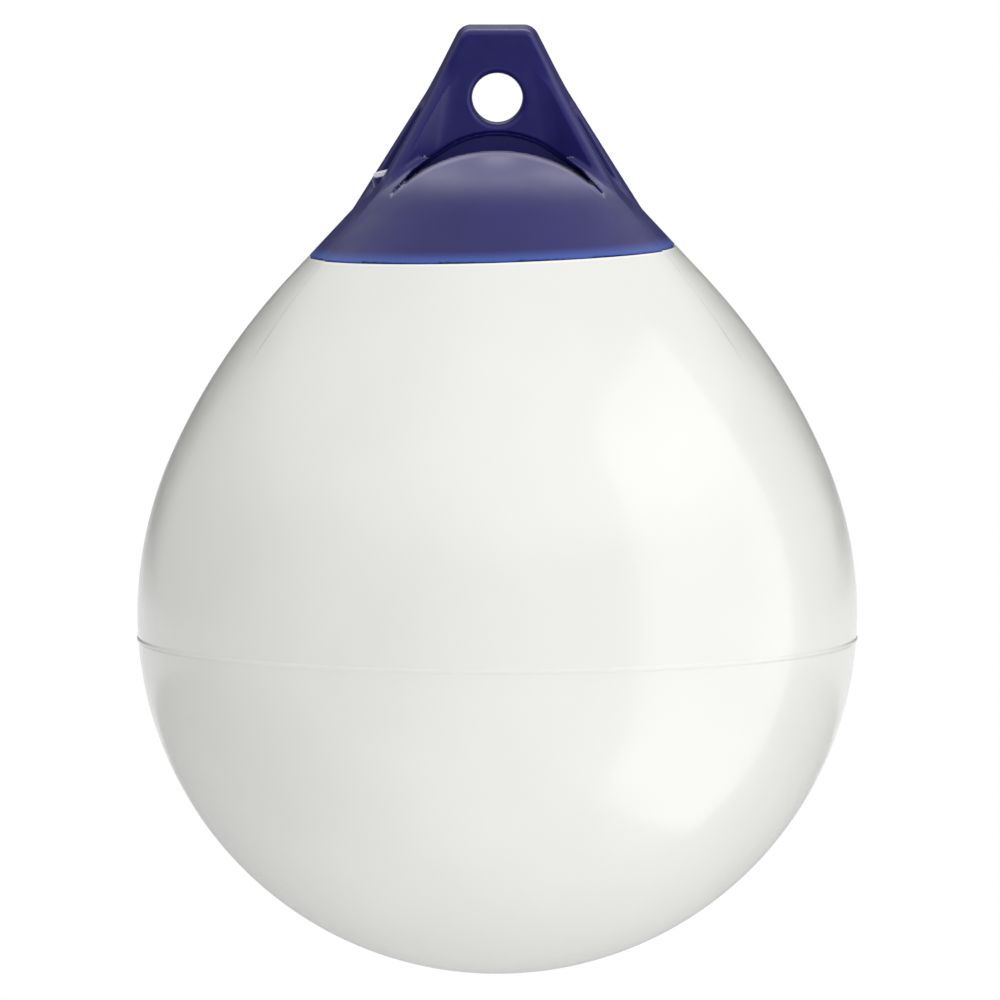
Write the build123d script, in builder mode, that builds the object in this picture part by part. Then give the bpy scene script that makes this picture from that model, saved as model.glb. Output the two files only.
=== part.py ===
from build123d import *
import os
from math import cos, radians, sin, sqrt, tan

os.makedirs("parts", exist_ok=True)

# Frame: the origin is the centre of the rope eye, +Z runs up out of the lug and the eye's axis lies
# along Y. The buoy hangs below its eye. All lengths are in millimetres and all angles in degrees.

# Ball, shoulder and crown, as a chain of tangent arcs with one straight flank under the crown
ball_radius = 215.0
low_shoulder_radius = 235.0
low_shoulder_angle = 24.0
mid_shoulder_radius = 380.0
mid_shoulder_angle = 13.0
high_shoulder_radius = 400.0
high_shoulder_angle = 6.0
crown_radius = 118.0
crown_angle = 35.0
peak_radius = 23.8
peak_drop = 30.8

# Walls and the cavity
shell_wall = 3.5
roof_start = 10.0

# Raised mould seam round the ball
seam_drop = 14.0
seam_width = 3.2
seam_height = 0.8

# Colour joint between the white float and the blue head, a plane that leans a little
joint_drop = 91.5
joint_lean = 1.7

# Lug: front outline on the middle plane, which narrows by the draft from back to front
lug_top = 42.2
lug_top_half_width = 20.8
lug_top_corner = 9.0
lug_neck_slope = 26.9
lug_waist_drop = -3.0
lug_leg_slope = 30.3
lug_waist_radius = 60.0
lug_foot_drop = 97.0
lug_draft = 6.0

# Lug: side outline
web_half = 13.0
flare_height = 15.0
flare_slope = 16.5
flare_radius = 40.0
leg_corner_radius = 4.5

# Rope eye
eye_diameter = 30.0
eye_lip = 4.5

# Front and back recesses between the legs
recess_top = 21.0
plate_half_width = 25.1
plate_spread = 9.0
facet_slope = 52.5

# Arched pockets under the plates, down to the crests of the front and back bulges
arch_top_drop = 19.8
arch_radius = 58.0
arch_leg_slope = 34.5
arch_knee_half_width = 50.0
arch_half_width = 62.0
crest_drop = 31.6
crest_radius = 95.0
pocket_step = 2.2
pocket_ledge_half = 11.0
pocket_floor_half = 8.0

# Side channels between the legs
channel_floor_half_width = 44.0
channel_floor_half_depth = 9.0
channel_slope = 8.0

# Inflation valve, in a boss on the crown in the left channel
valve_reach = 67.0
valve_seat_drop = 47.4
valve_lean = 13.0
boss_diameter = 15.6
boss_foot_depth = 12.0
insert_diameter = 9.6
insert_barb = 1.2
insert_barb_pitch = 4.0
insert_barb_count = 3
insert_length = 24.0
screw_diameter = 5.0
screw_clearance = 0.15
screw_length = 16.0
screw_head_diameter = 12.4
screw_head_height = 2.6
screw_head_chamfer = 0.5
slot_width = 1.6
slot_depth = 1.4
slot_length = 9.6
seal_thickness = 1.2
seal_diameter = 10.6

# Sizes that follow from the ones above
shoulder_arcs = (
    (low_shoulder_radius, low_shoulder_angle),
    (mid_shoulder_radius, mid_shoulder_angle),
    (high_shoulder_radius, high_shoulder_angle),
)
flank_angle = sum(angle for radius, angle in shoulder_arcs)
crown_end_angle = flank_angle + crown_angle
eye_radius = eye_diameter / 2
bore_radius = screw_diameter / 2 + screw_clearance
far = 2 * ball_radius


def arc_reach(radius, start, end):
    """How far an arc comes in towards the axis as its lean grows from start to end."""
    return radius * (cos(radians(start)) - cos(radians(end)))


def arc_rise(radius, start, end):
    """How far an arc climbs as its lean grows from start to end."""
    return radius * (sin(radians(end)) - sin(radians(start)))


def place_ball():
    """Length of the flank and height of the ball's centre, for a crown that ends at its peak."""
    reach = arc_reach(crown_radius, flank_angle, crown_end_angle)
    rise = arc_rise(crown_radius, flank_angle, crown_end_angle)
    lean = 0
    for radius, angle in shoulder_arcs:
        reach += arc_reach(radius, lean, lean + angle)
        rise += arc_rise(radius, lean, lean + angle)
        lean += angle
    flank = (ball_radius - peak_radius - reach) / sin(radians(flank_angle))
    return flank, -peak_drop - rise - flank * cos(radians(flank_angle))


flank_length, ball_centre = place_ball()


def trace_shoulder(inset):
    """Draw the ball and shoulder arcs, moved inwards by inset, and return the last one."""
    arc = JernArc((0, ball_centre - ball_radius + inset), (1, 0), ball_radius - inset, 90)
    for radius, angle in shoulder_arcs:
        arc = JernArc(arc @ 1, arc % 1, radius - inset, angle)
    return arc


def outer_profile():
    """Half section of the whole outside: ball, shoulder and crown."""
    with BuildSketch(Plane.XZ) as profile:
        with BuildLine():
            shoulder = trace_shoulder(0)
            flank = Line(shoulder @ 1, shoulder @ 1 + flank_length * (shoulder % 1))
            crown = JernArc(flank @ 1, flank % 1, crown_radius, crown_angle)
            peak = (0, (crown @ 1).Y)
            Polyline(crown @ 1, peak, (0, ball_centre - ball_radius))
        make_face()
    return profile.sketch


def cavity_profile():
    """Half section of the air space, whose roof is one arc up to the axis."""
    with BuildSketch(Plane.XZ) as profile:
        with BuildLine():
            shoulder = trace_shoulder(shell_wall)
            wall = Line(shoulder @ 1, shoulder @ 1 + roof_start * (shoulder % 1))
            roof_radius = (wall @ 1).X / cos(radians(flank_angle))
            roof = JernArc(wall @ 1, wall % 1, roof_radius, 90 - flank_angle)
            Line(roof @ 1, (0, ball_centre - ball_radius + shell_wall))
        make_face()
    return profile.sketch


def lug_half_width(height):
    """Half width of the lug's legs at a height below the waist."""
    neck_rise = lug_top + lug_waist_drop
    waist = lug_top_half_width + neck_rise * tan(radians(lug_neck_slope))
    return waist + (-lug_waist_drop - height) * tan(radians(lug_leg_slope))


def lug_half_depth(height):
    """Half depth of the lug's legs at a height below the flare."""
    return web_half + (flare_height - height) * tan(radians(flare_slope))


lug_reach = lug_half_depth(-lug_foot_drop)
lug_growth = lug_reach * tan(radians(lug_draft))


def is_lug_rim(edge):
    """True for the outlines of the lug's front and back faces, but not along its foot."""
    middle = edge.center()
    across = abs((edge % 0.5).Y) > 0.5
    inside = abs(middle.X) < 1 and middle.Z < recess_top
    foot = middle.Z < -lug_foot_drop + 0.01
    return not (across or inside or foot)


def recess_outline(spread):
    """Flat plate round the eye, from its narrow top down past the crown, widened by spread."""
    height = recess_top + lug_foot_drop
    top_half = plate_half_width + spread
    foot_half = top_half + height * tan(radians(plate_spread))
    Polygon(
        (-top_half, recess_top),
        (top_half, recess_top),
        (foot_half, -lug_foot_drop),
        (-foot_half, -lug_foot_drop),
        align=None,
    )


def channel_outline(half_depth):
    """Side channel between two legs, from the top of the lug down past the crown."""
    with Locations((0, (lug_top - lug_foot_drop) / 2)):
        Rectangle(2 * half_depth, lug_top + lug_foot_drop)


def crest_height(reach):
    """Height of the bulge's crest at a distance from the middle."""
    return sqrt(crest_radius**2 - reach**2) - crest_drop - crest_radius


def pocket_outline(step):
    """Arch above and bulge crest below, with the arch moved inwards by step."""
    radius = arch_radius - step
    centre = -arch_top_drop - arch_radius
    slope = radians(arch_leg_slope)
    haunch_x = radius * sin(slope)
    haunch_z = centre + radius * cos(slope)
    knee_x = arch_knee_half_width - step
    knee_z = haunch_z - (knee_x - haunch_x) * tan(slope)
    tip_x = arch_half_width - step
    with BuildLine() as arch:
        ThreePointArc((-haunch_x, haunch_z), (0, centre + radius), (haunch_x, haunch_z))
        Polyline(
            (haunch_x, haunch_z),
            (knee_x, knee_z),
            (tip_x, crest_height(tip_x)),
            (tip_x, -lug_foot_drop),
            (-tip_x, -lug_foot_drop),
            (-tip_x, crest_height(tip_x)),
            (-knee_x, knee_z),
            (-haunch_x, haunch_z),
        )
    make_face(arch.edges())
    with Locations((0, -crest_drop - crest_radius)):
        Circle(crest_radius, mode=Mode.SUBTRACT)


joint_plane = Plane(
    origin=(0, 0, -joint_drop),
    x_dir=(cos(radians(joint_lean)), 0, sin(radians(joint_lean))),
    z_dir=(-sin(radians(joint_lean)), 0, cos(radians(joint_lean))),
)
valve_seat = Plane(
    origin=(-valve_reach, 0, -valve_seat_drop),
    x_dir=(cos(radians(valve_lean)), 0, sin(radians(valve_lean))),
    z_dir=(-sin(radians(valve_lean)), 0, cos(radians(valve_lean))),
)
valve_section = Plane(origin=valve_seat.origin, x_dir=valve_seat.x_dir, z_dir=(0, -1, 0))
valve_axis = Axis(valve_seat.origin, valve_seat.z_dir)


def valve_profile(points):
    """Half section of (radius, height) points beside the valve's axis."""
    with BuildSketch(valve_section) as profile:
        with BuildLine():
            Polyline(*points, close=True)
        make_face()
    return profile.sketch


def insert_outline():
    """Outside of the barbed insert, from its foot to its top face."""
    radius = insert_diameter / 2
    points = [(0, -insert_length), (radius, -insert_length)]
    for barb in range(insert_barb_count):
        height = -insert_barb_pitch * (insert_barb_count - barb)
        points += [(radius, height - insert_barb), (radius + insert_barb, height), (radius, height)]
    return points + [(radius, 0), (0, 0)]


# White float: the hollow ball below the colour joint, with its raised seam
with BuildPart() as float_shell:
    revolve(outer_profile(), axis=Axis.Z)
    with BuildSketch(Plane.XZ):
        seam_level = ball_centre - seam_drop
        seam_root = ball_radius - shell_wall / 2
        with BuildLine():
            Polyline(
                (seam_root, seam_level - seam_width / 2),
                (ball_radius - seam_height, seam_level - seam_width / 2),
                (ball_radius + seam_height, seam_level),
                (ball_radius - seam_height, seam_level + seam_width / 2),
                (seam_root, seam_level + seam_width / 2),
                close=True,
            )
        make_face()
    revolve(axis=Axis.Z)
    revolve(cavity_profile(), axis=Axis.Z, mode=Mode.SUBTRACT)
    split(bisect_by=joint_plane, keep=Keep.BOTTOM)

# Blue head: a four-legged lug with a rope eye, moulded in one with the crown of the buoy
with BuildPart() as rope_head:
    # Lug block: the front outline, drafted from back to front, run through the side outline
    with BuildSketch(Plane.XZ.offset(-lug_reach)) as lug_front:
        with BuildLine():
            right = Polyline(
                (0, lug_top),
                (lug_top_half_width, lug_top),
                (lug_half_width(-lug_waist_drop), -lug_waist_drop),
                (lug_half_width(-lug_foot_drop - lug_growth), -lug_foot_drop - lug_growth),
                (0, -lug_foot_drop - lug_growth),
            )
            mirror(right, about=Plane.YZ)
        make_face()
        fillet(lug_front.vertices().group_by(Axis.Y)[-1], lug_top_corner)
        waist = lug_front.vertices().filter_by(lambda v: abs(v.Y + lug_waist_drop) < 0.01)
        fillet(waist, lug_waist_radius)
        offset(amount=lug_growth, kind=Kind.INTERSECTION)
    extrude(amount=2 * lug_reach, taper=lug_draft)
    with BuildSketch(Plane.YZ) as lug_side:
        with BuildLine():
            half = Polyline(
                (0, lug_top + lug_growth),
                (web_half, lug_top + lug_growth),
                (web_half, flare_height),
                (lug_reach, -lug_foot_drop),
                (0, -lug_foot_drop),
            )
            mirror(half, about=Plane.YZ)
        make_face()
        flare = lug_side.vertices().filter_by(lambda v: abs(v.Y - flare_height) < 0.01)
        fillet(flare, flare_radius)
    extrude(amount=far, both=True, mode=Mode.INTERSECT)
    rims = rope_head.edges().filter_by(is_lug_rim)
    fillet(rims, leg_corner_radius)

    # Recesses in front and back, from the flat plates out to the legs, and the channels at the sides
    for plane in (Plane.XZ, Plane.XZ.rotated((0, 0, 180))):
        with BuildSketch(plane.offset(web_half)):
            recess_outline(0)
        with BuildSketch(plane.offset(web_half + lug_foot_drop)):
            recess_outline(lug_foot_drop * tan(radians(facet_slope)))
        loft(ruled=True, mode=Mode.SUBTRACT)
    for plane in (Plane.YZ, Plane.YZ.rotated((0, 0, 180))):
        with BuildSketch(plane.offset(channel_floor_half_width)):
            channel_outline(channel_floor_half_depth)
        with BuildSketch(plane.offset(channel_floor_half_width + lug_foot_drop)):
            channel_outline(channel_floor_half_depth + lug_foot_drop * tan(radians(channel_slope)))
        loft(ruled=True, mode=Mode.SUBTRACT)

    # Rope eye with its rounded lips
    with BuildSketch(Plane.XZ):
        Circle(eye_radius)
    extrude(amount=far, both=True, mode=Mode.SUBTRACT)
    lips = rope_head.edges().filter_by(GeomType.CIRCLE)
    lips = lips.filter_by(lambda e: abs(e.radius - eye_radius) < 0.01 and e.arc_center.Z < 0.01)
    fillet(lips, eye_lip)

    # Crown, and the valve boss on it
    revolve(outer_profile(), axis=Axis.Z)
    with BuildSketch(valve_seat):
        Circle(boss_diameter / 2)
    extrude(amount=-boss_foot_depth)
    with BuildSketch(valve_seat):
        Circle(boss_diameter / 2)
    extrude(amount=boss_foot_depth, mode=Mode.SUBTRACT)

    # Arched pockets, each with a ledge round its top
    for plane in (Plane.XZ, Plane.XZ.rotated((0, 0, 180))):
        for floor, step in ((pocket_ledge_half, 0), (pocket_floor_half, pocket_step)):
            with BuildSketch(plane.offset(floor)):
                pocket_outline(step)
            extrude(amount=lug_foot_drop, mode=Mode.SUBTRACT)

    # Air space, colour joint and the seat of the valve insert
    revolve(cavity_profile(), axis=Axis.Z, mode=Mode.SUBTRACT)
    split(bisect_by=joint_plane, keep=Keep.TOP)
    revolve(valve_profile(insert_outline()), axis=valve_axis, mode=Mode.SUBTRACT)

# Valve insert: a barbed plastic bush, moulded into the boss, that opens into the air space
with BuildPart() as valve_insert:
    revolve(valve_profile(insert_outline()), axis=valve_axis)
    with BuildSketch(valve_seat):
        Circle(bore_radius)
    extrude(amount=-2 * insert_length, mode=Mode.SUBTRACT)

# Valve seal: a flat ring on the insert, under the screw's head
with BuildPart() as valve_seal:
    with BuildSketch(valve_seat):
        Circle(seal_diameter / 2)
        Circle(bore_radius, mode=Mode.SUBTRACT)
    extrude(amount=seal_thickness)

# Valve screw: a pale plastic plug with a slotted head
with BuildPart() as valve_screw:
    with BuildSketch(valve_seat.offset(seal_thickness)):
        Circle(screw_head_diameter / 2)
    extrude(amount=screw_head_height)
    head_rim = valve_screw.faces().sort_by(valve_axis)[-1].edges()
    chamfer(head_rim, screw_head_chamfer)
    with BuildSketch(valve_seat.offset(seal_thickness)):
        Circle(screw_diameter / 2)
    extrude(amount=-screw_length)
    with BuildSketch(valve_seat.offset(seal_thickness + screw_head_height)):
        Rectangle(slot_length, slot_width)
    extrude(amount=-slot_depth, mode=Mode.SUBTRACT)

pieces = {
    "float_shell": float_shell,
    "rope_head": rope_head,
    "valve_insert": valve_insert,
    "valve_seal": valve_seal,
    "valve_screw": valve_screw,
}
for name, piece in pieces.items():
    piece.part.label = name
    export_step(piece.part, f"parts/{name}.step")
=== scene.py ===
from math import atan2, cos, pi, radians, sin, sqrt, tan

import bmesh
import bpy
import numpy as np
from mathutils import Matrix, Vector


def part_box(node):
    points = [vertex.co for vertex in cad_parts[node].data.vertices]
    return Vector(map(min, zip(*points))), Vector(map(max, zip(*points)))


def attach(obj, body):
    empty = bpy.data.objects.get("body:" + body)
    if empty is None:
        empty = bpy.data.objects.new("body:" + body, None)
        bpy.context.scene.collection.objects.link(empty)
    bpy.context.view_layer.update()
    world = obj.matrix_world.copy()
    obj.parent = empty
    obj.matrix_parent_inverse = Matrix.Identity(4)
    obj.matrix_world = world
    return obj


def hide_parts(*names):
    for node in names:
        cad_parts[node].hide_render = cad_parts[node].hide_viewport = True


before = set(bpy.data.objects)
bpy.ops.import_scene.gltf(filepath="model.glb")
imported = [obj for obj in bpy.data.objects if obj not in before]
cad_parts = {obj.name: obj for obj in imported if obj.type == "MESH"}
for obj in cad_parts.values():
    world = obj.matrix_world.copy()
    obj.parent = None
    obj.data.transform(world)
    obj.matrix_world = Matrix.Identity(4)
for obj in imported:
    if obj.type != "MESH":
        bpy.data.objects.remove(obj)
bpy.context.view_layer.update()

# Lengths below are in millimetres in the part's own frame and angles in degrees, unless said otherwise.
# The origin is the centre of the rope eye, +Z is up and the eye's axis lies along Y.
MM = 0.001

# Ball, shoulder and crown
ball_radius = 215.0
shoulder_arcs = ((235.0, 24.0), (380.0, 13.0), (400.0, 6.0))
crown_radius = 118.0
crown_angle = 35.0
peak_radius = 23.8
peak_drop = 30.8
shell_wall = 3.5
roof_start = 10.0

# Mould seam round the ball and the colour joint under the head
seam_drop = 14.0
seam_width = 3.2
seam_height = 0.8
joint_drop = 91.5
joint_lean = 1.7
joint_edge_round = 0.3

# Lug outlines
lug_top = 42.2
lug_top_half_width = 20.8
lug_top_corner = 9.0
lug_neck_slope = 26.9
lug_waist_drop = -3.0
lug_leg_slope = 30.3
lug_waist_radius = 60.0
lug_foot_drop = 97.0
lug_draft = 6.0
web_half = 13.0
flare_height = 15.0
flare_slope = 16.5
flare_radius = 40.0
leg_corner_radius = 4.5
leg_corner_turn = 82.0

# Rope eye, recesses, arched pockets and side channels
eye_radius = 15.0
eye_lip = 4.5
recess_top = 21.0
plate_half_width = 25.1
plate_spread = 9.0
facet_slope = 52.5
facet_root_round = 1.6
facet_root_turn = 142.5
facet_edge_round = 0.9
arch_top_drop = 19.8
arch_radius = 58.0
arch_leg_slope = 34.5
arch_knee_half_width = 50.0
arch_half_width = 62.0
arch_knee_round = 14.0
crest_drop = 31.6
crest_radius = 95.0
pocket_step = 2.2
pocket_ledge_half = 11.0
pocket_floor_half = 8.0
pocket_edge_round = 1.6
channel_floor_half_width = 44.0
channel_floor_half_depth = 9.0
channel_slope = 8.0
channel_root_round = 5.0
channel_edge_round = 1.8

# Where the lug flows into the crown, and the creases that run on from the legs' corners
foot_blend = 4.0
crease_angle = 25.5
crease_lift = 3.0
crease_sink = 1.3
crease_sink_power = 4
crease_top_drop = 50.0
crease_end_drop = 160.0
crease_width = 2.0

# Inflation valve
valve_reach = 67.0
valve_seat_drop = 47.4
valve_lean = 13.0
boss_diameter = 15.6
boss_foot_depth = 12.0
boss_edge_round = 0.8
boss_foot_blend = 1.2
boss_lip_height = 1.15
boss_lip_radius = 5.7
boss_clear_height = 12.0
insert_radius = 4.8
insert_length = 24.0

# Mesh of the head
head_cell = 1.34
head_margin = 3.0
settle_rounds = 4
settle_reach = 0.2
least_strength = 0.25
normal_reach = 0.4

# Mesh of the ball: rows up its profile, meridians round it, closer at the creases, and the joint's edge
rows_under_seam = 70
rows_on_seam = 9
rows_over_seam = 5
seam_clear = 1.2
rows_to_a_degree = 1.4
rows_in_short_arc = 4
ball_sides = 232
crease_spread = 1.0
crease_clear = 1.3
crease_steps = 9
outer_flank_shares = (0.15, 0.3, 0.45, 0.6, 0.75, 0.88)
inner_flank_shares = (1.0, 0.66, 0.33)
inner_row_step = 3
joint_edge_rings = ((1.6, 0.0), (1.0, 0.0), (0.5, 0.0), (0.15, 0.04), (0.0, 0.2))


def arc_reach(radius, start, end):
    """How far an arc comes in towards the axis as its lean grows from start to end."""
    return radius * (cos(radians(start)) - cos(radians(end)))


def arc_rise(radius, start, end):
    """How far an arc climbs as its lean grows from start to end."""
    return radius * (sin(radians(end)) - sin(radians(start)))


flank_angle = sum(angle for radius, angle in shoulder_arcs)
flank_sin = sin(radians(flank_angle))
flank_cos = cos(radians(flank_angle))
joint_slope = tan(radians(joint_lean))


def place_ball():
    """Length of the flank and height of the ball's centre, for a crown that ends at its peak."""
    reach = arc_reach(crown_radius, flank_angle, flank_angle + crown_angle)
    rise = arc_rise(crown_radius, flank_angle, flank_angle + crown_angle)
    lean = 0.0
    for radius, angle in shoulder_arcs:
        reach += arc_reach(radius, lean, lean + angle)
        rise += arc_rise(radius, lean, lean + angle)
        lean += angle
    flank = (ball_radius - peak_radius - reach) / flank_sin
    return flank, -peak_drop - rise - flank * flank_cos


flank_length, ball_centre = place_ball()


# Distances in millimetres from the surface of a solid, negative inside it


def meet_round(a, b, radius, turn=90.0):
    """Intersection of two solids whose faces turn by that angle, with a rounded edge of that radius."""
    alike = cos(radians(turn))
    first = a + radius
    second = b + radius
    corner = (first > alike * second) & (second > alike * first)
    square = (first**2 + second**2 - 2.0 * alike * first * second) / (1.0 - alike**2)
    return np.where(corner, np.sqrt(np.maximum(square, 0.0)) - radius, np.maximum(a, b))


def join_round(a, b, radius, turn=90.0):
    """Union of two solids with a fillet of that radius between them."""
    return -meet_round(-a, -b, radius, turn)


def cut_round(a, b, radius, turn=90.0):
    """Solid a without solid b, with a rounded edge of that radius."""
    return meet_round(a, -b, radius, turn)


def ramp(value, start, end):
    """A smooth step from 0 at start to 1 at end."""
    share = np.clip((value - start) / (end - start), 0.0, 1.0)
    return share * share * (3.0 - 2.0 * share)


def crease_rise(x, y, z):
    """How far the crown stands proud along the creases, in front and back, over the side bands."""
    angle = np.degrees(np.arctan2(np.abs(y), np.abs(x)))
    past = np.radians(angle - crease_angle) * np.hypot(x, y)
    edge = ramp(past, -crease_width / 2, crease_width / 2)
    front = crease_lift * (1.0 - ramp(angle, crease_angle, 90.0))
    band = crease_sink * np.clip(angle / crease_angle, 0.0, 1.0) ** crease_sink_power
    fade = 1.0 - ramp(-z, crease_top_drop, crease_end_drop)
    return (front * edge - band * (1.0 - edge)) * fade


def crown_distance(x, y, z):
    """The revolved crown and flank, with the creases."""
    flank_foot_rho, flank_foot_z = flank_start()
    rho = np.hypot(x, y)
    along = (flank_foot_rho - rho) * flank_sin + (z - flank_foot_z) * flank_cos
    line = (rho - flank_foot_rho) * flank_cos + (z - flank_foot_z) * flank_sin
    head_rho = flank_foot_rho - flank_length * flank_sin
    head_z = flank_foot_z + flank_length * flank_cos
    centre_rho = head_rho - crown_radius * flank_cos
    centre_z = head_z - crown_radius * flank_sin
    arc = np.hypot(rho - centre_rho, z - centre_z) - crown_radius
    body = np.where(along > flank_length, arc, line)
    return np.maximum(body, z + peak_drop) - crease_rise(x, y, z)


def flank_start():
    """Distance from the axis and height of the flank's lower end."""
    rho = ball_radius
    z = ball_centre
    lean = 0.0
    for radius, angle in shoulder_arcs:
        rho -= arc_reach(radius, lean, lean + angle)
        z += arc_rise(radius, lean, lean + angle)
        lean += angle
    return rho, z


def lug_distance(x, y, z):
    """The lug block: the drafted front outline run through the side outline, with rounded rims."""
    wide = np.abs(x)
    deep = np.abs(y)
    neck = radians(lug_neck_slope)
    leg = radians(lug_leg_slope)
    waist_z = -lug_waist_drop
    waist_half = lug_top_half_width + (lug_top - waist_z) * tan(neck)
    neck_side = (wide - waist_half) * cos(neck) + (z - waist_z) * sin(neck)
    leg_side = (wide - waist_half) * cos(leg) + (z - waist_z) * sin(leg)
    side = join_round(neck_side, leg_side, lug_waist_radius, lug_leg_slope - lug_neck_slope)
    outline = meet_round(z - lug_top, side, lug_top_corner, 90.0 - lug_neck_slope)
    outline = (outline - y * tan(radians(lug_draft))) * cos(radians(lug_draft))
    flare = radians(flare_slope)
    flare_side = (deep - web_half) * cos(flare) + (z - flare_height) * sin(flare)
    depth = join_round(deep - web_half, flare_side, flare_radius, flare_slope)
    block = meet_round(outline, depth, leg_corner_radius, leg_corner_turn)
    return np.maximum(block, -lug_foot_drop - z)


def recess_distance(x, y, z):
    """The recesses in front and back, from the plates out to the legs."""
    spread = tan(radians(plate_spread))
    splay = tan(radians(facet_slope))
    out = np.abs(y) - web_half
    facet = np.abs(x) - plate_half_width - (recess_top - z) * spread - out * splay
    facet = facet / sqrt(1.0 + spread**2 + splay**2)
    hollow = meet_round(-out, facet, facet_root_round, facet_root_turn)
    return np.maximum(hollow, z - recess_top)


def channel_distance(x, y, z):
    """The channels in the two sides."""
    slope = radians(channel_slope)
    out = np.abs(x) - channel_floor_half_width
    wall = (np.abs(y) - channel_floor_half_depth) * cos(slope) - out * sin(slope)
    return meet_round(-out, wall, channel_root_round)


def pocket_distance(x, y, z, step, floor):
    """An arched pocket, with the arch moved inwards by step and its floor that far from the middle."""
    wide = np.abs(x)
    slope = radians(arch_leg_slope)
    centre = -arch_top_drop - arch_radius
    haunch_x = arch_radius * sin(slope)
    haunch_z = centre + arch_radius * cos(slope)
    knee_z = haunch_z - (arch_knee_half_width - haunch_x) * tan(slope)
    tip_z = sqrt(crest_radius**2 - arch_half_width**2) - crest_drop - crest_radius
    tip_slope = atan2(knee_z - tip_z, arch_half_width - arch_knee_half_width)
    along = (wide - haunch_x) * cos(slope) - (z - haunch_z) * sin(slope)
    line = (wide - haunch_x) * sin(slope) + (z - haunch_z) * cos(slope)
    arc = np.hypot(wide, z - centre) - arch_radius
    arch = np.where(along > 0.0, line, arc)
    tip = (wide - arch_knee_half_width) * sin(tip_slope) + (z - knee_z) * cos(tip_slope)
    arch = meet_round(arch, tip, arch_knee_round, np.degrees(tip_slope - slope)) + step
    crest = np.hypot(x, z + crest_drop + crest_radius) - crest_radius
    opening = np.maximum(np.maximum(arch, -crest), wide - arch_half_width + step)
    return np.maximum(opening, floor - np.abs(y))


def valve_place(x, y, z):
    """Distance from the valve's axis and height above its seat."""
    lean = radians(valve_lean)
    dx = x + valve_reach
    dz = z + valve_seat_drop
    height = -dx * sin(lean) + dz * cos(lean)
    across = dx * cos(lean) + dz * sin(lean)
    return np.hypot(across, y), height


def plug_distance(reach, height, radius, foot, top):
    """A round plug on the valve's axis, between two heights from its seat."""
    return np.maximum(reach - radius, np.maximum(foot - height, height - top))


def cavity_distance(x, y, z):
    """The round roof of the air space."""
    foot_rho, foot_z = flank_start()
    wall_rho = foot_rho - shell_wall * flank_cos - roof_start * flank_sin
    wall_z = foot_z - shell_wall * flank_sin + roof_start * flank_cos
    centre_z = wall_z - wall_rho * flank_sin / flank_cos
    return np.sqrt(x**2 + y**2 + (z - centre_z) ** 2) - wall_rho / flank_cos


def head_distance(x, y, z):
    """The whole blue head."""
    lug = cut_round(lug_distance(x, y, z), recess_distance(x, y, z), facet_edge_round, facet_slope)
    lug = cut_round(lug, channel_distance(x, y, z), channel_edge_round)
    lug = cut_round(lug, np.hypot(x, z) - eye_radius, eye_lip)
    head = join_round(crown_distance(x, y, z), lug, foot_blend)
    reach, height = valve_place(x, y, z)
    boss = meet_round(reach - boss_diameter / 2, height - boss_lip_height, boss_edge_round)
    boss = np.maximum(boss, -boss_foot_depth - height)
    head = join_round(head, boss, boss_foot_blend)
    spot = plug_distance(reach, height, boss_diameter / 2, boss_lip_height, boss_clear_height)
    head = np.maximum(head, -spot)
    seat = plug_distance(reach, height, boss_lip_radius, 0.0, boss_clear_height)
    head = np.maximum(head, -seat)
    for step, floor in ((0.0, pocket_ledge_half), (pocket_step, pocket_floor_half)):
        head = cut_round(head, pocket_distance(x, y, z, step, floor), pocket_edge_round)
    head = np.maximum(head, -cavity_distance(x, y, z))
    joint = (x * joint_slope - z - joint_drop) * cos(radians(joint_lean))
    head = meet_round(head, joint, joint_edge_round)
    bore = plug_distance(reach, height, insert_radius, -insert_length, 0.0)
    return np.maximum(head, -bore)


# Meshing of the head's distance field


def sample_grid(low, high, cell):
    """The three axes of a grid that covers a box."""
    return [np.arange(a, b + cell, cell) for a, b in zip(low, high)]


def field_mesh(distance, axes, cell):
    """Points, one in each cell that is crossed, and faces on the zero surface of a distance field."""
    values = distance(*np.meshgrid(*axes, indexing="ij", sparse=True))
    inside = values < 0.0
    cells = tuple(n - 1 for n in values.shape)
    total = np.zeros(cells + (3,))
    count = np.zeros(cells)
    crossings = []
    for axis in range(3):
        near = [slice(None)] * 3
        far_side = [slice(None)] * 3
        near[axis] = slice(0, -1)
        far_side[axis] = slice(1, None)
        near = tuple(near)
        far_side = tuple(far_side)
        crossed = np.argwhere(inside[near] != inside[far_side])
        first = values[near][tuple(crossed.T)]
        second = values[far_side][tuple(crossed.T)]
        point = crossed.astype(float)
        point[:, axis] += first / (first - second)
        crossings.append((axis, crossed, first < 0.0))
        others = [a for a in range(3) if a != axis]
        for step_a in (0, 1):
            for step_b in (0, 1):
                at = crossed.copy()
                at[:, others[0]] -= step_a
                at[:, others[1]] -= step_b
                held = np.all((at >= 0) & (at < cells), axis=1)
                np.add.at(total, tuple(at[held].T), point[held])
                np.add.at(count, tuple(at[held].T), 1.0)
    used = count > 0.0
    number = np.full(cells, -1)
    number[used] = np.arange(int(used.sum()))
    points = total[used] / count[used][:, None]
    origin = np.array([a[0] for a in axes])
    points = origin + points * cell
    faces = []
    for axis, crossed, outward in crossings:
        a, b = [(1, 2), (2, 0), (0, 1)][axis]
        corners = []
        for step_a, step_b in ((0, 0), (1, 0), (1, 1), (0, 1)):
            at = crossed.copy()
            at[:, a] -= step_a
            at[:, b] -= step_b
            corners.append(number[tuple(at.T)])
        quad = np.stack(corners, axis=1)
        quad[~outward] = quad[~outward][:, ::-1]
        faces.append(quad)
    return points, np.concatenate(faces)


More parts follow.
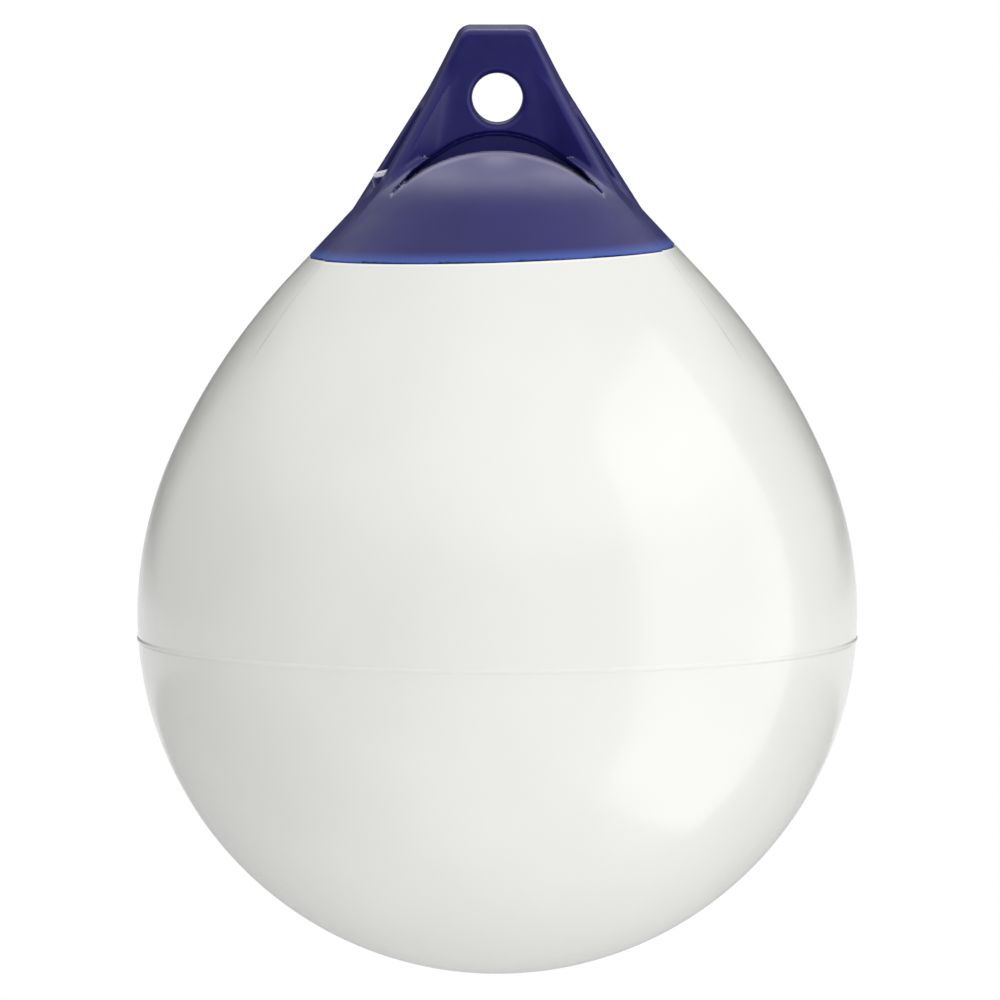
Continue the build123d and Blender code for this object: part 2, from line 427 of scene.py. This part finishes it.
def slope_of(distance, points, reach):
    """The gradient of a distance field at points, from samples that far to each side."""
    slope = np.empty_like(points)
    for axis in range(3):
        shift = np.zeros(3)
        shift[axis] = reach
        ahead = distance(*(points + shift).T)
        behind = distance(*(points - shift).T)
        slope[:, axis] = (ahead - behind) / (2.0 * reach)
    return slope


def settle(distance, points, rounds, reach, most):
    """Points moved onto the zero surface, by at most the given step each round."""
    for _ in range(rounds):
        slope = slope_of(distance, points, reach)
        strength = np.maximum(np.sum(slope**2, axis=1), least_strength)
        step = -distance(*points.T) / strength
        step = np.clip(step, -most, most)
        points = points + slope * step[:, None]
    return points


def new_mesh_object(name, points, faces, normals=None):
    """A smooth-shaded object from points in millimetres."""
    mesh = bpy.data.meshes.new(name)
    build = bmesh.new()
    corners = [build.verts.new(point) for point in points * MM]
    for face in faces:
        build.faces.new([corners[i] for i in face])
    build.to_mesh(mesh)
    build.free()
    mesh.shade_smooth()
    if normals is not None:
        mesh.normals_split_custom_set_from_vertices(normals)
    piece = bpy.data.objects.new(name, mesh)
    bpy.context.scene.collection.objects.link(piece)
    return piece


def make_head():
    """The blue head as one moulding."""
    lowest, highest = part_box("rope_head")
    low = np.array(lowest) / MM - head_margin
    high = np.array(highest) / MM + head_margin
    axes = sample_grid(low, high, head_cell)
    points, faces = field_mesh(head_distance, axes, head_cell)
    points = settle(head_distance, points, settle_rounds, settle_reach, head_cell / 2)
    points = np.clip(points, np.array(lowest) / MM, np.array(highest) / MM)
    normals = slope_of(head_distance, points, normal_reach)
    normals /= np.linalg.norm(normals, axis=1)[:, None]
    return new_mesh_object("head_moulding", points, faces, normals)


def shell_profile():
    """Outer section of the ball up to the flank's foot: distance from the axis, height and lean."""
    seam_lean = np.degrees(np.arcsin(-seam_drop / ball_radius))
    seam_reach = np.degrees(seam_width / 2 / ball_radius)
    leans = np.concatenate((
        np.linspace(-90.0, seam_lean - seam_clear * seam_reach, rows_under_seam),
        np.linspace(seam_lean - seam_reach, seam_lean + seam_reach, rows_on_seam),
        np.linspace(seam_lean + seam_clear * seam_reach, 0.0, rows_over_seam),
    ))
    rows = [(ball_radius * cos(radians(a)), ball_centre + ball_radius * sin(radians(a)), a) for a in leans]
    rho = ball_radius
    z = ball_centre
    lean = 0.0
    for radius, angle in shoulder_arcs:
        steps = max(rows_in_short_arc, int(angle * rows_to_a_degree))
        for k in range(1, steps + 1):
            now = lean + angle * k / steps
            rows.append((rho - arc_reach(radius, lean, now), z + arc_rise(radius, lean, now), now))
        rho -= arc_reach(radius, lean, lean + angle)
        z += arc_rise(radius, lean, lean + angle)
        lean += angle
    return rows


def ball_turns():
    """The angles of the ball's meridians, closer together at the four creases."""
    even = np.arange(ball_sides) * 2.0 * pi / ball_sides
    near = np.radians(np.linspace(-crease_spread, crease_spread, crease_steps))
    creases = []
    for half_turn in (0.0, 180.0):
        creases.append(radians(half_turn + crease_angle))
        creases.append(radians(half_turn + 180.0 - crease_angle))
    clear = np.all([np.abs(even - crease) > radians(crease_clear) for crease in creases], axis=0)
    return np.sort(np.concatenate([even[clear]] + [crease + near for crease in creases]))


def skin_ring(row, offset, turns):
    """A level ring round one row of the profile, that far out from the skin."""
    rho, z, lean = row
    ring_rho = rho + offset * cos(radians(lean))
    ring_z = z + offset * sin(radians(lean))
    return np.full(len(turns), ring_rho), np.full(len(turns), ring_z)


def seam_lift(row):
    """How far the mould seam stands proud at one row of the profile."""
    bead = 1.0 - ((row[1] - ball_centre + seam_drop) / (seam_width / 2)) ** 2
    return seam_height * max(bead, 0.0)


def joint_reach(turns, inset):
    """How far up the flank the colour joint lies, at angles round the axis and a depth under the skin."""
    foot_rho, foot_z = flank_start()
    foot_rho -= inset * flank_cos
    foot_z -= inset * flank_sin
    tilt = np.cos(turns) * joint_slope
    return (-joint_drop - foot_z + foot_rho * tilt) / (flank_cos + flank_sin * tilt)


def flank_ring(along, sink):
    """A ring at distances up the flank, that far under its skin."""
    foot_rho, foot_z = flank_start()
    rho = foot_rho - sink * flank_cos - along * flank_sin
    z = foot_z - sink * flank_sin + along * flank_cos
    return rho, z


def make_float():
    """The white float: outer skin with its seam, the joint's edge, and the wall's inner skin."""
    turns = ball_turns()
    rows = shell_profile()
    outer_top = joint_reach(turns, 0.0)
    inner_top = joint_reach(turns, shell_wall)
    outer = [skin_ring(row, seam_lift(row), turns) for row in rows[1:]]
    outer += [flank_ring(outer_top * share, 0.0) for share in outer_flank_shares]
    outer += [flank_ring(outer_top - back, sink) for back, sink in joint_edge_rings]
    inner = [flank_ring(inner_top * share, shell_wall) for share in inner_flank_shares]
    inner += [skin_ring(row, -shell_wall, turns) for row in rows[:0:-inner_row_step]]

    points = [(0.0, 0.0, ball_centre - ball_radius)]
    for rho, z in outer:
        rise = crease_rise(rho * np.cos(turns), rho * np.sin(turns), z)
        proud = rho + rise / flank_cos
        points.extend(zip(proud * np.cos(turns), proud * np.sin(turns), z))
    for rho, z in inner:
        points.extend(zip(rho * np.cos(turns), rho * np.sin(turns), z))
    points.append((0.0, 0.0, ball_centre - ball_radius + shell_wall))

    around = [(k, (k + 1) % len(turns)) for k in range(len(turns))]
    faces = [(0, 1 + after, 1 + k) for k, after in around]
    below = 1
    for _ in (outer + inner)[1:]:
        above = below + len(turns)
        faces += [(below + k, below + after, above + after, above + k) for k, after in around]
        below = above
    faces += [(below + k, below + after, below + len(turns)) for k, after in around]
    return new_mesh_object("float_ball", np.array(points), faces)


# Materials


class Nodes:
    """A small helper that adds nodes to a node tree and links them."""

    def __init__(self, tree):
        self.tree = tree
        self.tree.nodes.clear()

    def add(self, kind, **settings):
        node = self.tree.nodes.new(kind)
        for key, value in settings.items():
            setattr(node, key, value)
        return node

    def link(self, source, target):
        self.tree.links.new(source, target)

    def feed(self, value, socket):
        """Gives a socket a number, a colour or what comes out of another node."""
        if isinstance(value, float):
            socket.default_value = value
        elif isinstance(value, tuple):
            socket.default_value = value + (1.0,)
        else:
            self.link(value, socket)

    def math(self, operation, *values):
        node = self.add("ShaderNodeMath", operation=operation)
        for value, socket in zip(values, node.inputs):
            self.feed(value, socket)
        return node.outputs[0]

    def split(self, vector):
        """The X, Y and Z of a vector."""
        node = self.add("ShaderNodeSeparateXYZ")
        self.link(vector, node.inputs[0])
        return tuple(node.outputs)

    def spread(self, value, low, high, to_low, to_high):
        """A smooth change from one level to another while a value goes from low to high."""
        node = self.add("ShaderNodeMapRange", interpolation_type="SMOOTHSTEP")
        self.link(value, node.inputs["Value"])
        for key, number in (("From Min", low), ("From Max", high), ("To Min", to_low), ("To Max", to_high)):
            node.inputs[key].default_value = number
        return node.outputs["Result"]

    def glow(self, strength):
        """White light from all round, of one level or one that changes with its direction."""
        node = self.add("ShaderNodeBackground")
        self.feed((1.0, 1.0, 1.0), node.inputs["Color"])
        self.feed(strength, node.inputs["Strength"])
        return node.outputs[0]

    def choose(self, share, first, second):
        """The first light where the share is 0 and the second where it is 1."""
        node = self.add("ShaderNodeMixShader")
        for value, socket in zip((share, first, second), node.inputs):
            self.link(value, socket)
        return node.outputs[0]


class Shader(Nodes):
    """The nodes of one material, with its surface shader and its place on the object."""

    def __init__(self, name):
        self.material = bpy.data.materials.new(name)
        self.material.use_nodes = True
        super().__init__(self.material.node_tree)
        self.surface = self.add("ShaderNodeBsdfPrincipled")
        output = self.add("ShaderNodeOutputMaterial")
        self.link(self.surface.outputs[0], output.inputs["Surface"])
        self.place = self.add("ShaderNodeTexCoord").outputs["Object"]

    def set(self, key, value):
        """Gives one socket of the surface shader a number, a colour or what comes out of a node."""
        self.feed(value, self.surface.inputs[key])

    def noise(self, scale, detail):
        node = self.add("ShaderNodeTexNoise")
        self.link(self.place, node.inputs["Vector"])
        node.inputs["Scale"].default_value = scale
        node.inputs["Detail"].default_value = detail
        return node.outputs["Fac"]

    def mix(self, share, first, second):
        node = self.add("ShaderNodeMix", data_type="RGBA")
        self.link(share, node.inputs["Factor"])
        self.feed(first, node.inputs["A"])
        self.feed(second, node.inputs["B"])
        return node.outputs["Result"]

    def bump(self, height, distance, strength, normal=None):
        node = self.add("ShaderNodeBump")
        node.inputs["Strength"].default_value = strength
        node.inputs["Distance"].default_value = distance
        self.link(height, node.inputs["Height"])
        if normal is not None:
            self.link(normal, node.inputs["Normal"])
        return node.outputs["Normal"]

    def facing_up(self):
        """The upward share of the surface's normal."""
        return self.split(self.add("ShaderNodeNewGeometry").outputs["Normal"])[2]

    def above_joint(self):
        """Height above the colour joint, in metres."""
        x, y, z = self.split(self.place)
        lean = self.math("MULTIPLY_ADD", x, -joint_slope, joint_drop * MM)
        return self.math("ADD", z, lean)


def white_vinyl():
    """Glossy off-white vinyl with faint clouds, a fine orange peel and a cream line at the joint, painted
    as a highlight along the shell's top edge.
    """
    dull_white = (0.800, 0.800, 0.770)
    clear_white = (0.830, 0.828, 0.800)
    cream = (0.93, 0.92, 0.82)
    vinyl = Shader("white_vinyl_skin")
    cloud = vinyl.spread(vinyl.noise(scale=7.0, detail=2.0), low=0.35, high=0.65, to_low=0.0, to_high=1.0)
    colour = vinyl.mix(cloud, dull_white, clear_white)
    # Painted highlight: a thin cream band at the top of the white, by the colour joint, stands for the
    # light caught on the shell's top edge.
    line = vinyl.spread(vinyl.above_joint(), low=-0.0016, high=-0.0007, to_low=0.0, to_high=1.0)
    colour = vinyl.mix(line, colour, cream)
    gloss = vinyl.spread(vinyl.noise(scale=60.0, detail=4.0), low=0.3, high=0.7, to_low=0.16, to_high=0.24)
    peel = vinyl.bump(vinyl.noise(scale=600.0, detail=2.0), distance=0.00001, strength=0.4)
    waves = vinyl.bump(vinyl.noise(scale=22.0, detail=1.0), distance=0.0003, strength=0.25, normal=peel)
    vinyl.set("Base Color", colour)
    vinyl.set("Roughness", gloss)
    vinyl.set("Normal", waves)
    vinyl.set("Specular IOR Level", 0.3)
    vinyl.set("Coat Weight", 0.2)
    vinyl.set("Coat Roughness", 0.05)
    return vinyl.material


def navy_vinyl():
    """Navy vinyl, a clearer blue next to the colour joint, with a painted sheen where the crown faces up,
    which lightens it as though lit from above.
    """
    deep_navy = (0.0078, 0.0064, 0.098)
    light_navy = (0.0104, 0.0085, 0.114)
    clear_blue = (0.040, 0.085, 0.36)
    rim_blue = (0.012, 0.055, 0.34)
    vinyl = Shader("navy_vinyl_skin")
    cloud = vinyl.spread(vinyl.noise(scale=26.0, detail=3.0), low=0.3, high=0.7, to_low=0.0, to_high=1.0)
    colour = vinyl.mix(cloud, deep_navy, light_navy)
    height = vinyl.above_joint()
    near = vinyl.spread(height, low=0.0005, high=0.0075, to_low=1.0, to_high=0.0)
    colour = vinyl.mix(near, colour, clear_blue)
    rim = vinyl.spread(height, low=0.0004, high=0.0018, to_low=1.0, to_high=0.0)
    colour = vinyl.mix(rim, colour, rim_blue)
    gloss = vinyl.spread(vinyl.noise(scale=90.0, detail=4.0), low=0.3, high=0.7, to_low=0.33, to_high=0.40)
    peel = vinyl.bump(vinyl.noise(scale=900.0, detail=2.0), distance=0.000012, strength=0.4)
    waves = vinyl.bump(vinyl.noise(scale=60.0, detail=1.0), distance=0.00015, strength=0.2, normal=peel)
    # Painted sheen: where the crown's surface faces up, a bluish-white sheen lightens it as though light
    # fell on it from above; it is kept to the crown below the lug.
    painted_sheen = vinyl.spread(vinyl.facing_up(), low=0.72, high=0.93, to_low=0.0, to_high=0.82)
    on_crown = vinyl.spread(height, low=0.058, high=0.066, to_low=1.0, to_high=0.0)
    vinyl.set("Base Color", colour)
    vinyl.set("Roughness", gloss)
    vinyl.set("Normal", waves)
    vinyl.set("Sheen Weight", vinyl.math("MULTIPLY", painted_sheen, on_crown))
    vinyl.set("Sheen Roughness", 0.6)
    vinyl.set("Sheen Tint", (0.80, 0.77, 1.0))
    vinyl.set("Specular IOR Level", 0.35)
    return vinyl.material


def moulded_plastic(name, dark, light, gloss_low, gloss_high):
    """A small moulded plastic or rubber piece with a faint mottle and mould grain."""
    plastic = Shader(name)
    mottle = plastic.noise(scale=300.0, detail=3.0)
    wear = plastic.noise(scale=700.0, detail=3.0)
    grain = plastic.noise(scale=1800.0, detail=2.0)
    plastic.set("Base Color", plastic.mix(mottle, dark, light))
    plastic.set("Roughness", plastic.spread(wear, 0.3, 0.7, gloss_low, gloss_high))
    plastic.set("Normal", plastic.bump(grain, distance=0.00002, strength=0.6))
    return plastic.material


def pale_floor_paint():
    """A plain matt pale floor."""
    dull_grey = (0.80, 0.80, 0.80)
    light_grey = (0.83, 0.83, 0.83)
    floor = Shader("floor_paint")
    floor.set("Base Color", floor.mix(floor.noise(scale=3.0, detail=4.0), dull_grey, light_grey))
    floor.set("Roughness", 0.9)
    floor.set("Specular IOR Level", 0.1)
    return floor.material


def paint(piece, material):
    """Gives every slot of a piece one material."""
    if not piece.data.materials:
        piece.data.materials.append(material)
    for k in range(len(piece.data.materials)):
        piece.material_slots[k].link = "OBJECT"
        piece.material_slots[k].material = material


# Studio, in metres


def place_camera():
    """A long lens, a little above the rope eye, that looks at the buoy along +Y."""
    distance = 7.72
    height = 0.406
    frame_width = 0.5972
    centre_x = 0.0016
    centre_z = -0.2406
    sensor_width = 36.0
    view_limit = 100.0
    camera_data = bpy.data.cameras.new("photo_camera")
    camera = bpy.data.objects.new("photo_camera", camera_data)
    bpy.context.scene.collection.objects.link(camera)
    camera.location = Vector((centre_x, -distance, height))
    view = Vector((centre_x, 0.0, centre_z)) - camera.location
    camera.rotation_euler = view.to_track_quat("-Z", "Y").to_euler()
    camera_data.sensor_width = sensor_width
    camera_data.lens = sensor_width * view.length / frame_width
    camera_data.clip_end = view_limit
    bpy.context.scene.camera = camera


def softbox(name, location, target, size, radiance, seen_by):
    """A rectangular lamp of even radiance, where 1 is white. It lights one kind of ray."""
    data = bpy.data.lights.new(name, "AREA")
    data.shape = "RECTANGLE"
    data.size, data.size_y = size
    data.energy = radiance * pi * size[0] * size[1]
    lamp = bpy.data.objects.new(name, data)
    bpy.context.scene.collection.objects.link(lamp)
    lamp.location = location
    lamp.rotation_euler = (Vector(target) - Vector(location)).to_track_quat("-Z", "Y").to_euler()
    lamp.visible_camera = False
    lamp.visible_diffuse = seen_by == "diffuse"
    lamp.visible_glossy = seen_by == "glossy"


def light_buoy():
    """Two boxes for the reflections, and four that shape the light on the ball."""
    middle = (0.0, 0.0, ball_centre * MM)
    crown = (0.0, 0.0, -0.05)
    right = (0.86, -0.30, ball_centre * MM)
    front = (0.0, -3.0, -0.25)
    right_high = (1.4, -1.4, 1.7)
    right_low = (0.8, -0.8, -1.36)
    softbox("mirror_box_right", right, middle, size=(1.0, 2.4), radiance=1.85, seen_by="glossy")
    softbox("mirror_box_back", (0.05, 0.70, 0.95), crown, size=(1.0, 0.95), radiance=1.6, seen_by="glossy")
    softbox("shaping_front", front, middle, size=(2.4, 2.4), radiance=1.15, seen_by="diffuse")
    softbox("shaping_right_high", right_high, middle, size=(2.4, 2.4), radiance=1.08, seen_by="diffuse")
    softbox("shaping_right_low", right_low, middle, size=(1.2, 1.2), radiance=1.46, seen_by="diffuse")
    softbox("shaping_top", (0.0, 0.0, 1.8), middle, size=(2.2, 2.2), radiance=0.5, seen_by="diffuse")


def studio_world():
    """A white background, an even fill, and in mirror rays a pale ceiling, pale sides and a pale sweep."""
    fill_level = 0.61
    world = bpy.data.worlds.new("studio")
    bpy.context.scene.world = world
    world.use_nodes = True
    room = Nodes(world.node_tree)
    rays = room.add("ShaderNodeLightPath").outputs
    x, y, z = room.split(room.add("ShaderNodeTexCoord").outputs["Generated"])
    ceiling = room.spread(z, low=0.28, high=0.60, to_low=0.06, to_high=1.3)
    behind = room.spread(y, low=-0.2, high=0.4, to_low=0.1, to_high=0.65)
    sides = room.spread(room.math("ABSOLUTE", x), low=0.40, high=0.70, to_low=0.0, to_high=1.0)
    sweep = room.spread(z, low=-0.10, high=0.03, to_low=1.5, to_high=0.0)
    walls = room.math("MULTIPLY", room.math("MAXIMUM", sides, sweep), behind)
    mirror = room.glow(room.math("MAXIMUM", ceiling, walls))
    lit = room.choose(rays["Is Glossy Ray"], room.glow(fill_level), mirror)
    seen = room.math("MAXIMUM", rays["Is Camera Ray"], rays["Is Transmission Ray"])
    shown = room.choose(seen, lit, room.glow(1.0))
    room.link(shown, room.add("ShaderNodeOutputWorld").inputs["Surface"])


def lay_floor():
    """A round pale floor well below the hanging buoy, out of sight in the front view."""
    floor_height = -1.5
    floor_radius = 6.0
    floor_sides = 96
    mesh = bpy.data.meshes.new("studio_floor")
    build = bmesh.new()
    bmesh.ops.create_circle(build, cap_ends=True, radius=floor_radius, segments=floor_sides)
    bmesh.ops.translate(build, verts=build.verts, vec=(0.0, 0.0, floor_height))
    build.to_mesh(mesh)
    build.free()
    floor = bpy.data.objects.new("studio_floor", mesh)
    bpy.context.scene.collection.objects.link(floor)
    mesh.materials.append(pale_floor_paint())


place_camera()
studio_world()
light_buoy()
lay_floor()

head = make_head()
head.data.materials.append(navy_vinyl())
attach(head, "root")
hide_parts("rope_head")

ball = make_float()
ball.data.materials.append(white_vinyl())
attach(ball, "root")
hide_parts("float_shell")

# The valve's pieces are the solids themselves, with materials on them
# The screw's pale lilac-white is its own colour and also a painted highlight: its top stands in for the
# light that the boss's top face catches.
pale_plastic_and_highlight = moulded_plastic("pale_screw_and_highlight", (0.80, 0.79, 0.88), (0.86, 0.85, 0.92), 0.25, 0.35)
black_rubber = moulded_plastic("black_rubber", (0.02, 0.02, 0.02), (0.03, 0.03, 0.03), 0.5, 0.65)
grey_plastic = moulded_plastic("bush_plastic", (0.30, 0.30, 0.32), (0.36, 0.36, 0.38), 0.4, 0.5)
paint(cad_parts["valve_screw"], pale_plastic_and_highlight)
paint(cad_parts["valve_seal"], black_rubber)
paint(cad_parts["valve_insert"], grey_plastic)

bpy.context.scene.view_settings.view_transform = "Standard"
